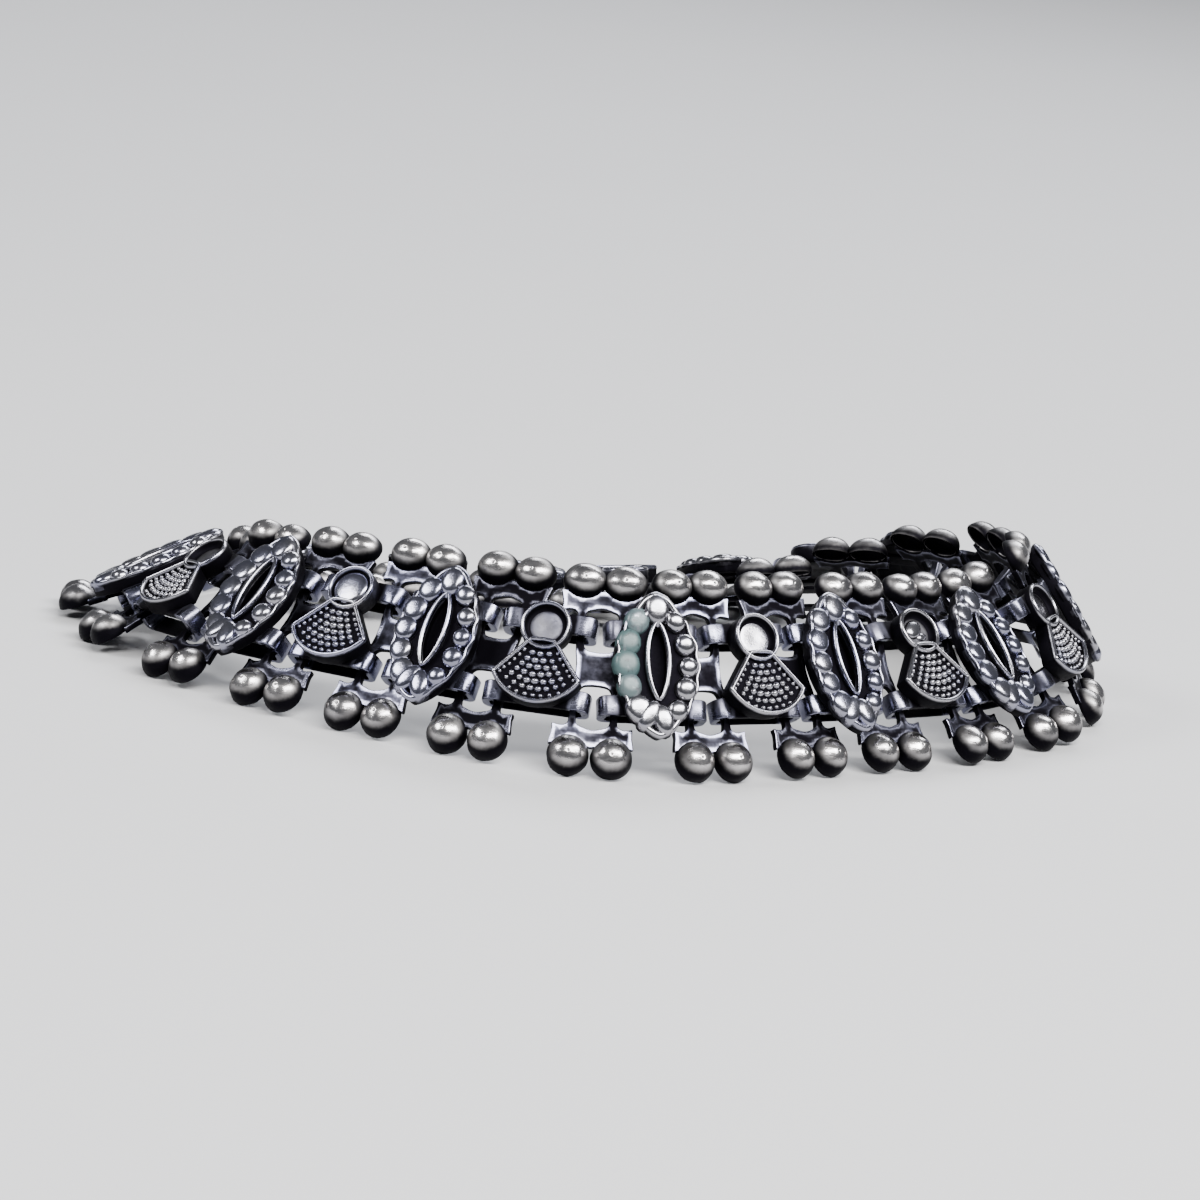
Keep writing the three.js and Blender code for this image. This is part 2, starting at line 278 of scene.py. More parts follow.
def grid_shell(points: np.ndarray, wear: np.ndarray, ring: bool = True, loop: bool = False,
               caps: tuple[bool, bool] = (False, False)) -> Shell:
    """A skin woven from rows of points.

    Args:
        points: An array of rows, columns and three coordinates.
        wear: An array of rows and columns.
        ring: Whether each row closes on itself.
        loop: Whether the last row joins the first.
        caps: Whether the first and the last row are filled.

    Returns:
        The skin.
    """
    rows, columns = points.shape[:2]
    faces: list[tuple[int, ...]] = []
    for r in range(rows if loop else rows - 1):
        for c in range(columns if ring else columns - 1):
            here, there = r * columns, (r + 1) % rows * columns
            right = (c + 1) % columns
            faces.append((here + c, here + right, there + right, there + c))
    if caps[0]:
        faces.append(tuple(reversed(range(columns))))
    if caps[1]:
        faces.append(tuple(range((rows - 1) * columns, rows * columns)))
    return Shell(points.reshape(-1, 3), faces, wear.reshape(-1))


def lathe(profile: Sequence[Triple], sides: int) -> Shell:
    """A round form about z.

    Args:
        profile: Rows of radius, z and wear, with the outside first to the right.
        sides: Number of points round it.

    Returns:
        The skin.
    """
    rows = np.array(profile)
    angle = np.linspace(0, 2 * math.pi, sides, endpoint=False)
    points = np.empty((len(rows), sides, 3))
    points[..., 0] = rows[:, :1] * np.cos(angle)
    points[..., 1] = rows[:, :1] * np.sin(angle)
    points[..., 2] = rows[:, 1:2]
    wear = np.repeat(rows[:, 2:], sides, axis=1)
    return grid_shell(points, wear)


def wire(path: np.ndarray, across: np.ndarray | float, tall: np.ndarray | float,
         closed: bool = False, sides: int = 10, wear: Pair = (0.1, 1.0)) -> Shell:
    """A wire that lies along a path in the link's face.

    Args:
        path: Points of its middle line.
        across: Half its width, or one for each point.
        tall: Half its height, or one for each point.
        closed: Whether the path closes on itself.
        sides: Number of points round it.
        wear: At its foot and along its crest.

    Returns:
        The skin.
    """
    if closed:
        tangent = np.roll(path, -1, axis=0) - np.roll(path, 1, axis=0)
    else:
        tangent = np.gradient(path, axis=0)
    tangent /= np.linalg.norm(tangent, axis=1, keepdims=True)
    side = np.cross(tangent, (0.0, 0.0, 1.0))
    side /= np.linalg.norm(side, axis=1, keepdims=True)
    up = np.cross(side, tangent)
    angle = np.linspace(0, 2 * math.pi, sides, endpoint=False)
    half = [(np.ones(len(path)) * size)[:, None] for size in (across, tall)]
    points = (path[:, None] + side[:, None] * (half[0] * np.cos(angle))[..., None]
              + up[:, None] * (half[1] * np.sin(angle))[..., None])
    crest = (np.sin(angle) + 1) / 2
    shade = np.tile(wear[0] + (wear[1] - wear[0]) * crest, (len(path), 1))
    return grid_shell(points, shade, loop=closed, caps=(not closed, not closed))


@dataclass(frozen=True)
class Lump:
    """A low smooth lump that stands on a link's ground."""

    x: float  # of its middle, as is y
    y: float
    top: float  # z of its top
    across: float  # half its width
    along: float  # half its length
    turn: float = 0.0  # turn of its length from y, in degrees
    fullness: float = 0.4  # 1 for an ellipsoid, less for a flatter top
    wear: Pair = (0.35, 0.95)  # at its foot and on its top
    sides: int = 16
    rows: int = 6

    def shell(self, foot: float, verdigris: float = 0.0) -> Shell:
        """Its skin.

        Args:
            foot: z of its foot.
            verdigris: How much green bloom it carries.

        Returns:
            The skin.
        """
        swing = np.linspace(0.03, 0.5, self.rows) * math.pi
        radius = np.append(np.sin(swing) ** self.fullness, 1.0)
        height = np.append(np.cos(swing), -0.35)
        angle = np.linspace(0, 2 * math.pi, self.sides, endpoint=False)
        flat = np.stack([self.across * np.cos(angle), self.along * np.sin(angle)], axis=-1)
        points = np.empty((self.rows + 1, self.sides, 3))
        points[..., :2] = flat[None] * radius[:, None, None]
        points[..., 2] = (foot + (self.top - foot) * height)[:, None]
        cos, sin = math.cos(math.radians(self.turn)), math.sin(math.radians(self.turn))
        points[..., :2] = points[..., :2] @ np.array([[cos, sin], [-sin, cos]])
        points[..., :2] += (self.x, self.y)
        share = np.sqrt(np.clip(height, 0, 1))
        worn = self.wear[0] + (self.wear[1] - self.wear[0]) * share
        shade = np.repeat(worn[:, None], self.sides, axis=1)
        made = grid_shell(points[::-1], shade[::-1], caps=(False, True))
        return replace(made, verdigris=verdigris)


def rounded(outline: Sequence[Pair] | np.ndarray, cuts: int = 2,
            share: float = 0.25) -> np.ndarray:
    """A closed outline with its corners cut again and again until they are round.

    Args:
        outline: Its corners.
        cuts: How many times they are cut.
        share: How much of each side a cut takes.

    Returns:
        The round outline.
    """
    points = np.array(outline, float)
    for _ in range(cuts):
        following = np.roll(points, -1, axis=0)
        first = points * (1 - share) + following * share
        second = points * share + following * (1 - share)
        points = np.stack([first, second], axis=1).reshape(-1, 2)
    return points


def even(outline: np.ndarray, step: float = 0.16) -> np.ndarray:
    """The same closed outline with points at even distances.

    Args:
        outline: Its points.
        step: Distance wanted between points.

    Returns:
        The even outline.
    """
    ring = np.vstack([outline, outline[:1]])
    lengths = np.concatenate([[0], np.cumsum(np.linalg.norm(np.diff(ring, axis=0), axis=1))])
    count = max(8, round(lengths[-1] / step))
    wanted = np.linspace(0, lengths[-1], count, endpoint=False)
    return np.stack([np.interp(wanted, lengths, ring[:, k]) for k in (0, 1)], axis=1)


def round_box(low: Pair, high: Pair, radius: float) -> np.ndarray:
    """A rectangle with round corners, anticlockwise.

    Args:
        low: Its low corner.
        high: Its high corner.
        radius: Of its corners.

    Returns:
        Its outline.
    """
    (x0, y0), (x1, y1) = low, high
    points = []
    for start, x, y in ((-90, x1 - radius, y0 + radius), (0, x1 - radius, y1 - radius),
                        (90, x0 + radius, y1 - radius), (180, x0 + radius, y0 + radius)):
        for degrees in range(start, start + 91, 15):
            angle = math.radians(degrees)
            points.append((x + radius * math.cos(angle), y + radius * math.sin(angle)))
    return even(np.array(points), 0.17)


def inset(outline: np.ndarray, margin: float) -> np.ndarray:
    """An outline moved to its left by a margin.

    Args:
        outline: Its points, with the metal on the left.
        margin: How far it moves into the metal.

    Returns:
        The moved outline.
    """
    tangent = np.roll(outline, -1, axis=0) - np.roll(outline, 1, axis=0)
    tangent /= np.linalg.norm(tangent, axis=1, keepdims=True)
    return outline + margin * np.stack([-tangent[:, 1], tangent[:, 0]], axis=1)


def nearest(points: np.ndarray, loops: Sequence[np.ndarray]) -> np.ndarray:
    """The distance from each point to the nearest side of any outline.

    Args:
        points: The points, in the plane.
        loops: The outlines.

    Returns:
        One distance for each point.
    """
    best = np.full(len(points), 1e9)
    for loop in loops:
        span = np.roll(loop, -1, axis=0) - loop
        offset = points[:, None] - loop[None]
        share = np.clip((offset * span).sum(-1) / np.maximum((span**2).sum(-1), 1e-12), 0, 1)
        gap = np.linalg.norm(offset - share[..., None] * span, axis=-1)
        best = np.minimum(best, gap.min(axis=1))
    return best


def inside(points: np.ndarray, loops: Sequence[np.ndarray]) -> np.ndarray:
    """Whether each point lies inside an odd number of outlines.

    Args:
        points: The points, in the plane.
        loops: The outlines.

    Returns:
        One truth value for each point.
    """
    odd = np.zeros(len(points), bool)
    for loop in loops:
        x0, y0 = loop[:, 0], loop[:, 1]
        x1, y1 = np.roll(x0, -1), np.roll(y0, -1)
        px, py = points[:, :1], points[:, 1:]
        spans = (y0 > py) != (y1 > py)
        rise = np.where(y1 == y0, 1e-12, y1 - y0)
        crossed = spans & (px < (x1 - x0) * (py - y0) / rise + x0)
        odd ^= crossed.sum(axis=1) % 2 == 1
    return odd


@dataclass
class Plate:
    """A flat plate with windows, rounded edges and a softly worn face."""

    outline: np.ndarray  # its outer edge, anticlockwise
    windows: list[np.ndarray]  # its holes, clockwise
    low: float  # z of its back
    high: float  # z of its face
    edge: float = 0.08  # radius of its edges
    step: float = 0.3  # distance between the points of its face
    face_wear: float = 0.5
    edge_wear: float = 1.0
    wall_wear: float = 0.25
    edge_band: float = 0.12  # width over which the edge's wear fades
    back_share: float = 0.6  # wear of its back as a share of its face's
    rub_and_shade: Callable[[np.ndarray], np.ndarray] | None = None  # share of wear kept at points; on the ball frames and the straps a low share is partly painted shade

    def shells(self) -> list[Shell]:
        """Builds the plate.

        Returns:
            Its face, its back and its walls.
        """
        loops = [self.outline, *self.windows]
        rims = [inset(loop, self.edge) for loop in loops]
        return [self._face(rims, True), self._face(rims, False),
                *(self._wall(loop) for loop in loops)]

    def _kept(self, points: np.ndarray) -> np.ndarray:
        """How much of the wear is kept at each point; on the ball frames and the straps less of it
        is partly painted shade.
        """
        return self.rub_and_shade(points) if self.rub_and_shade else np.ones(len(points))

    def _face(self, rims: list[np.ndarray], front: bool) -> Shell:
        """One face of the plate.

        Args:
            rims: Its outlines.
            front: Whether it is the face and not the back.

        Returns:
            The skin.
        """
        low, high = rims[0].min(axis=0), rims[0].max(axis=0)
        xs = np.arange(low[0] + self.step / 2, high[0], self.step)
        ys = np.arange(low[1] + self.step / 2, high[1], self.step)
        mesh = np.stack(np.meshgrid(xs, ys), axis=-1).reshape(-1, 2)
        keep = inside(mesh, rims) & (nearest(mesh, rims) > self.step * 0.5)
        points = np.vstack([*rims, mesh[keep]])
        edges, first = [], 0
        for rim in rims:
            count = len(rim)
            edges += [(first + k, first + (k + 1) % count) for k in range(count)]
            first += count
        made = delaunay_2d_cdt([Vector(p) for p in points], edges, [], 0, 1e-6)
        flat = np.array([tuple(v) for v in made[0]])
        faces = [tuple(f) for f in made[2]]
        middles = np.array([flat[list(f)].mean(axis=0) for f in faces])
        kept = inside(middles, rims)
        faces = [f if front else f[::-1] for f, k in zip(faces, kept) if k]
        fade = np.exp(-nearest(flat, rims) / self.edge_band)
        wear = (self.face_wear + (self.edge_wear - self.face_wear) * fade) * self._kept(flat)
        if front:
            return Shell(level(flat, self.high), faces, wear)
        return Shell(level(flat, self.low), faces, wear * self.back_share)

    def _wall(self, loop: np.ndarray) -> Shell:
        """The wall along one outline, with both its round edges.

        Args:
            loop: The outline.

        Returns:
            The skin.
        """
        rows, wear = [], []
        for row in range(8):
            front = row < 4
            k = row if front else 7 - row
            swing = math.radians(30 * k)
            flat = inset(loop, self.edge * (1 - math.sin(swing)))
            fall = self.edge * (1 - math.cos(swing))
            worn = self.edge_wear * (1 - k / 4) + self.wall_wear * k / 4
            rows.append(level(flat, self.high - fall if front else self.low + fall))
            wear.append((worn if front else self.wall_wear * 0.8) * self._kept(flat))
        return grid_shell(np.array(rows)[::-1], np.array(wear)[::-1])


@dataclass
class Casting:
    """The skins of one piece, gathered until it is made."""

    node: str  # name of its solid
    place: Matrix  # the place of its own axes, in millimetres
    shells: list[Shell] = field(default_factory=list)

    def add(self, shells: Iterable[Shell], finish: int = 0) -> None:
        """Adds skins in one of the piece's finishes."""
        self.shells += [replace(shell, finish=finish) for shell in shells]

    def make(self, finishes: Sequence[bpy.types.Material], slot: str,
             tone: float) -> bpy.types.Object:
        """Makes the piece and stands it in for its solid.

        Args:
            finishes: Its materials.
            slot: Name of the record's material slot. It is not used.
            tone: Its own shade of metal, from 0 to 1.

        Returns:
            The piece.
        """
        points = np.vstack([shell.points for shell in self.shells])
        faces: list[tuple[int, ...]] = []
        indices: list[int] = []
        first = 0
        for shell in self.shells:
            faces += [tuple(first + k for k in f) for f in shell.faces]
            indices += [shell.finish] * len(shell.faces)
            first += len(shell.points)
        node = self.node
        mesh = bpy.data.meshes.new(f"{node}_cast")
        mesh.from_pydata((carried(points, self.place) * MILLIMETRE).tolist(), [], faces)
        for finish in finishes:
            mesh.materials.append(finish)
        mesh.polygons.foreach_set("material_index", indices)
        mesh.polygons.foreach_set("use_smooth", [True] * len(faces))
        values = {
            "wear": np.concatenate([s.wear for s in self.shells]),
            "verdigris": np.concatenate([np.full(len(s.points), s.verdigris) for s in self.shells]),
            "tone": np.full(len(points), tone),
        }
        for title, numbers in values.items():
            layer = mesh.attributes.new(title, "FLOAT", "POINT")
            layer.data.foreach_set("value", numbers.astype(np.float32))
        mesh.update()
        piece = stand(bpy.data.objects.new(mesh.name, mesh))
        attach(piece, "root")
        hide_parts(node)
        return piece


# ---- Finishes ----


class Value:
    """A number that changes over a surface, with ordinary arithmetic."""

    def __init__(self, sheet: "NodeSheet", socket: Socket) -> None:
        """Keeps the socket and the sheet that it is on."""
        self.sheet = sheet
        self.socket = socket

    def _maths(self, operation: str, first: Any, second: Any) -> "Value":
        """The result of one Math node on two numbers."""
        made = self.sheet.node("ShaderNodeMath", {"operation": operation}, {0: first, 1: second})
        return Value(self.sheet, made.outputs[0])

    def __add__(self, other: Any) -> "Value":
        """Sum."""
        return self._maths("ADD", self, other)

    __radd__ = __add__

    def __sub__(self, other: Any) -> "Value":
        """Difference."""
        return self._maths("SUBTRACT", self, other)

    def __rsub__(self, other: Any) -> "Value":
        """Difference, reflected."""
        return self._maths("SUBTRACT", other, self)

    def __mul__(self, other: Any) -> "Value":
        """Product."""
        return self._maths("MULTIPLY", self, other)

    __rmul__ = __mul__

    def smooth(self, low: float, high: float) -> "Value":
        """A smooth step.

        Args:
            low: Where it is still 0.
            high: Where it reaches 1.

        Returns:
            The step.
        """
        made = self.sheet.node("ShaderNodeMapRange", {"interpolation_type": "SMOOTHSTEP"},
                               {"Value": self, "From Min": low, "From Max": high})
        return Value(self.sheet, made.outputs["Result"])


class NodeSheet:
    """The node tree of one material."""

    def __init__(self, name: str) -> None:
        """Starts a material with a bare surface shader.

        Args:
            name: Of the material.
        """
        self.material = bpy.data.materials.new(name)
        self.material.use_nodes = True
        self.tree = self.material.node_tree
        self.shader = self.tree.nodes["Principled BSDF"]

    def node(self, kind: str, settings: dict[str, Any], inputs: dict[Any, Any]) -> bpy.types.Node:
        """Adds a node.

        Args:
            kind: Its type.
            settings: Its settings, which are set first.
            inputs: Values or links of its sockets.

        Returns:
            The node.
        """
        made = self.tree.nodes.new(kind)
        for key, value in settings.items():
            setattr(made, key, value)
        for key, value in inputs.items():
            self.feed(made.inputs[key], value)
        return made

    def surface(self, name: str, value: Any) -> None:
        """Feeds a socket of the surface shader."""
        self.feed(self.shader.inputs[name], value)

    def feed(self, socket: Socket, value: Any) -> None:
        """Sets or links a socket.

        Args:
            socket: The socket.
            value: A number, a colour, a socket or a Value.
        """
        if isinstance(value, Value):
            value = value.socket
        if isinstance(value, Socket):
            self.tree.links.new(value, socket)
        else:
            socket.default_value = value

    def attribute(self, name: str) -> Value:
        """A number kept on the mesh."""
        made = self.node("ShaderNodeAttribute", {"attribute_name": name}, {})
        return Value(self, made.outputs["Fac"])

    def place(self) -> Socket:
        """The point on the object, in metres."""
        return self.node("ShaderNodeTexCoord", {}, {}).outputs["Object"]

    def stretched(self, scale: Triple, turn: Triple) -> Socket:
        """The point on the object, stretched along each axis and turned by radians about it."""
        inputs = {"Vector": self.place(), "Scale": scale, "Rotation": turn}
        return self.node("ShaderNodeMapping", {}, inputs).outputs["Vector"]

    def noise(self, per_metre: float, detail: float = 3.0, rough: float = 0.5,
              at: Socket | None = None) -> Value:
        """Cloudy noise.

        Args:
            per_metre: Its scale.
            detail: Its octaves.
            rough: How strong the small ones are.
            at: Where it is read, or None for the point on the object.

        Returns:
            The noise, from 0 to 1.
        """
        made = self.node("ShaderNodeTexNoise", {}, {
            "Vector": at or self.place(), "Scale": per_metre, "Detail": detail,
            "Roughness": rough})
        return Value(self, made.outputs["Fac"])

    def blend(self, share: Any, first: Any, second: Any) -> Socket:
        """A mix of two colours, by the share of the second."""
        inputs = {0: share, 6: first, 7: second}
        return self.node("ShaderNodeMix", {"data_type": "RGBA"}, inputs).outputs[2]

    def bump(self, height: Value, depth: float) -> Socket:
        """The normal of a small relief whose height from 0 to 1 is a depth in metres."""
        inputs = {"Height": height, "Distance": depth, "Strength": 1.0}
        return self.node("ShaderNodeBump", {}, inputs).outputs["Normal"]


@dataclass(frozen=True)
class AgedSilver:
    """Cast silver-coloured metal, dark with oxide and rubbed bright where it is touched, with
    painted shade carried in the same wear attribute.
    """

    name: str
    bright: Colour = (0.52, 0.51, 0.52, 1)  # colour of rubbed metal
    film: Colour = (0.28, 0.29, 0.41, 1)  # colour of the thin blue film on it
    oxide: Colour = (0.005, 0.0045, 0.0065, 1)
    salts: Colour = (0.032, 0.072, 0.072, 1)  # colour of verdigris
    dirt: Colour = (0.01, 0.014, 0.015, 1)  # colour of the specks in it
    edge: float = 0.15  # wear at which the oxide starts to go
    clean: float = 0.75  # wear at which it has gone
    patchy: float = 0.35  # how much the edge of the oxide wanders
    gloss: float = 0.24  # roughness of rubbed metal
    dull: float = 0.62  # roughness of the oxide
    pits: float = 0.00003  # depth of the cast skin, in metres
    patches: float = 900.0  # scale of the patches of oxide
    swell: float = 0.00008  # depth of the slow swell of the hand-worked face, in metres

    def material(self) -> bpy.types.Material:
        """Makes the material.

        Returns:
            The material.
        """
        sheet = NodeSheet(self.name)
        wear = sheet.attribute("wear")
        green = sheet.attribute("verdigris")
        tone = sheet.attribute("tone")
        patches = sheet.noise(self.patches, 4, 0.6)  # where oxide is left
        clouds = sheet.noise(260, 3, 0.5)  # where the film is thick
        grain = sheet.noise(5200, 3, 0.6)
        hairlines = sheet.noise(900, 2, 0.5, sheet.stretched((1, 9, 9), (0.4, 0.2, 0.7)))
        # Bare metal where the wear attribute is high; its low values hold oxide and, on the domes,
        # frame bars and strap middles, painted shade
        rubbed_and_lit = (wear + (patches - 0.5) * self.patchy + (tone - 0.5) * 0.2).smooth(
            self.edge, self.clean)
        filmed = (clouds + tone * 0.25).smooth(0.5, 0.8)
        metal = sheet.blend(filmed * 0.8, self.bright, self.film)
        colour = sheet.blend(rubbed_and_lit, self.oxide, metal)
        bloom = green * (patches + clouds * 0.4).smooth(0.42, 0.68)
        specks = sheet.noise(3200, 2, 0.5).smooth(0.58, 0.7)
        salts = sheet.blend(specks * 0.8, self.salts, self.dirt)
        colour = sheet.blend(bloom, colour, salts)
        sheet.surface("Base Color", colour)
        rough = (1 - rubbed_and_lit) * (self.dull - self.gloss) + self.gloss
        rough = rough + (grain - 0.5) * 0.12 + (hairlines - 0.5) * 0.16 + bloom * 0.2
        sheet.surface("Roughness", rough)
        sheet.surface("Metallic", 1 - bloom)
        swell = sheet.noise(650, 1, 0.4)
        height = patches * 0.6 + grain * 0.25 + hairlines * 0.3 + swell * (self.swell / self.pits)
        sheet.surface("Normal", sheet.bump(height, self.pits))
        return sheet.material


DOME_SILVER = AgedSilver(
    "rubbed_dome_silver", bright=(0.54, 0.52, 0.515, 1), film=(0.33, 0.32, 0.33, 1),
    edge=0.12, clean=0.9, gloss=0.22, swell=0.00005)
PLATE_SILVER = AgedSilver(
    "filmed_plate_silver", bright=(0.2, 0.2, 0.26, 1), film=(0.16, 0.165, 0.24, 1),
    edge=0.26, clean=0.8, patchy=0.7, gloss=0.2, patches=420, pits=0.00002, swell=0.00004)
RELIEF_SILVER = AgedSilver(
    "oxidised_relief_silver", bright=(0.33, 0.325, 0.35, 1), film=(0.22, 0.225, 0.31, 1),
    edge=0.24, clean=0.78, gloss=0.2, pits=0.000018, swell=0.000018)


@dataclass(frozen=True)
class PaleFloor:
    """A plain pale matt surface."""

    name: str = "pale_floor"
    colour: Colour = (0.5, 0.5, 0.51, 1)
    rough: float = 0.7
    spread: float = 4.0  # half its width, in metres
    squares: int = 8  # squares along each side

    def build(self) -> None:
        """Makes the floor."""
        sheet = NodeSheet(self.name)
        mottle = sheet.noise(18, 4, 0.5)
        darker = tuple(c * 0.96 for c in self.colour[:3]) + (1,)
        sheet.surface("Base Color", sheet.blend(mottle, self.colour, darker))
        sheet.surface("Roughness", self.rough)
        count = self.squares + 1
        ticks = np.linspace(-self.spread, self.spread, count)
        points = np.stack([*np.meshgrid(ticks, ticks), np.zeros((count, count))], axis=-1)
        shell = grid_shell(points, np.zeros((count, count)), ring=False)
        mesh = bpy.data.meshes.new("floor")
        mesh.from_pydata(shell.points.tolist(), [], shell.faces)
        mesh.materials.append(sheet.material)
        floor = stand(bpy.data.objects.new("floor", mesh))


# ---- The ball link ----


@dataclass
class BallLink:
    """A flat frame with two windows, a horned saddle and a pair of hollow domes at each end."""

    upper: float = 1.5  # radius of the upper domes
    skin: float = 0.26  # wall of a dome
    squash: Pair = (1.12, 0.95)  # how much wider and lower the upper domes are than round ones
    rub_and_shade_axis: Triple = (0.0, 0.45, 0.89)  # the way that the most rubbed, brightest side of each dome looks; away from it the dome is darker, partly kept oxide and partly painted shade
    dents: Pair = (0.032, 0.01)  # depth of the wide and the small dents, as shares of the radius
    horns: tuple[Pair, ...] = (  # points of a saddle's flared end, from its bar outwards
        (1.85, 4.05), (1.9, 4.42), (2.25, 4.6), (2.75, 4.55), (3.1, 4.4), (3.0, 4.95),
        (3.1, 5.4), (3.25, 6.1), (3.12, 6.1))
    tongue: tuple[Pair, ...] = ((0.28, 6.12), (0.0, 6.22))  # a saddle's end between the domes
    waist: tuple[Pair, ...] = (  # points of its right side
        (1.8, -1.5), (1.66, -0.7), (1.62, 0.0), (1.66, 0.7), (1.8, 1.5))
    cradle: float = 0.86  # radius of the hollow under a dome as a share of the dome's
    window_low: float = 1.35  # lower edge of the upper window
    window_top: float = 4.5  # its upper edge, by the bars
    arch: float = 0.35  # rise of that edge between the bars
    sides: int = 36  # of a dome
    rows: int = 14  # from a dome's rim to its top

    def _saddle(self, radius: float) -> list[Pair]:
        """Right half of a saddle's outer edge, from its bar to the point between the domes.

        Args:
            radius: Of the two domes that it holds.

        Returns:
            Its points, with y measured away from half height.
        """
        centre, hug = radius + BALL.apart, radius * self.cradle
        angles = [math.radians(degrees) for degrees in range(48, -61, -12)]
        under = [(centre + hug * math.sin(a), BALL.row - hug * math.cos(a)) for a in angles]
        return [*self.horns, *under, *self.tongue]

    def _outline(self) -> np.ndarray:
        """The frame's outer edge, anticlockwise.

        Returns:
            Its outline.
        """
        low = [(x, -y) for x, y in self._saddle(BALL.dome)]
        right = [*low[::-1], *self.waist, *self._saddle(self.upper)]
        left = [(-x, y) for x, y in right[1:-1]][::-1]
        return even(rounded(right + left))

    def _window(self, up: int) -> np.ndarray:
        """One window, clockwise.

        Args:
            up: 1 for the upper window, -1 for the lower one.

        Returns:
            Its outline.
        """
        half, low, top = BALL.bar_in, self.window_low, self.window_top
        left = [(-half, low + 0.1), (-half, top - 0.1), (-half + 0.45, top + 0.1)]
        right = [(-x, y) for x, y in reversed(left)]
        loop = np.array([*left, (0, top + self.arch), *right, (0, low - 0.08)]) * (1, up)
        return even(rounded(loop[::up], 3, 0.22))

    @staticmethod
    def _rubbed_and_shaded(points: np.ndarray) -> np.ndarray:
        """The share of wear on the frame: most on its waist and saddles, least on its bars, where
        the low share is partly kept oxide and partly painted shade of the motifs in front.

        Args:
            points: Points of the frame.

        Returns:
            One share for each point.
        """
        height = np.abs(points[:, 1])
        waist = np.clip((1.55 - height) / 0.3, 0, 1)
        saddle = np.clip((height - 4.35) / 0.3, 0, 1)
        # The bars keep little wear: partly oxide, partly painted shade
        return 0.35 + 0.65 * np.maximum(waist, saddle)

    def _dome(self, radius: float, x: float, y: float, seed: int) -> Shell:
        """A hollow dome, open at the back.

        Args:
            radius: Of its outside.
            x: Of its middle.
            y: Of its middle.
            seed: Of its small dents.

        Returns:
            The skin.
        """
        inner = radius - self.skin
        outside = [(radius - 0.07, BALL.back, 0.75), (radius, BALL.back + 0.08, 0.3)]
        for k in range(1, self.rows):
            swing = math.radians(90 * k / self.rows)
            outside.append((radius * math.cos(swing), radius * math.sin(swing),
                            0.06 + 0.94 * math.sin(swing) ** 1.1))
        outside.append((0.02, radius, 1.0))
        hollow = [(inner + 0.05, BALL.back, 0.55)]
        for k in range(9):
            swing = math.radians(88 * k / 8)
            hollow.append((inner * math.cos(swing), inner * math.sin(swing), 0.05))
        hollow.append((0.02, inner, 0.0))
        shell = lathe([*outside, *hollow[::-1]], self.sides)
        for k, point in enumerate(shell.points):
            unit = Vector(point).normalized()
            dent = noise.noise(unit * 1.6 + Vector((seed * 3.1, seed * 1.7, seed)))
            small = noise.noise(unit * 4.0 + Vector((seed, seed * 2.3, 5.0)))
            shell.points[k] = point * (1 + self.dents[0] * dent + self.dents[1] * small)
            # The outside is darkened away from that axis: partly kept oxide, partly painted shade
            # on its lower side
            if k < len(outside) * self.sides:
                shell.wear[k] *= min(1.0, max(0.0, unit.dot(Vector(self.rub_and_shade_axis)) * 1.5))
        if y > 0:
            shell.points[:, :2] *= self.squash
        shell.points[:, :2] += (x, y)
        return shell

    def build(self, place: Matrix, number: int) -> Casting:
        """Builds one ball link.

        Args:
            place: Its place.
            number: Its number along the loop.

        Returns:
            The casting.
        """
        casting = Casting(f"ball_link_{number:02d}", place)
        sheet = Plate(self._outline(), [self._window(1), self._window(-1)], -BALL.thick,
                      BALL.thick, edge=0.07, face_wear=0.3, wall_wear=0.15, rub_and_shade=self._rubbed_and_shaded)
        casting.add(sheet.shells(), finish=1)
        for pair, (radius, y) in enumerate([(BALL.dome, -BALL.row), (self.upper, BALL.row)]):
            for side in (-1, 1):
                seed = number * 4 + pair * 2 + (side > 0)
                casting.add([self._dome(radius, side * (radius + BALL.apart), y, seed)])
        return casting


# ---- The motif links ----


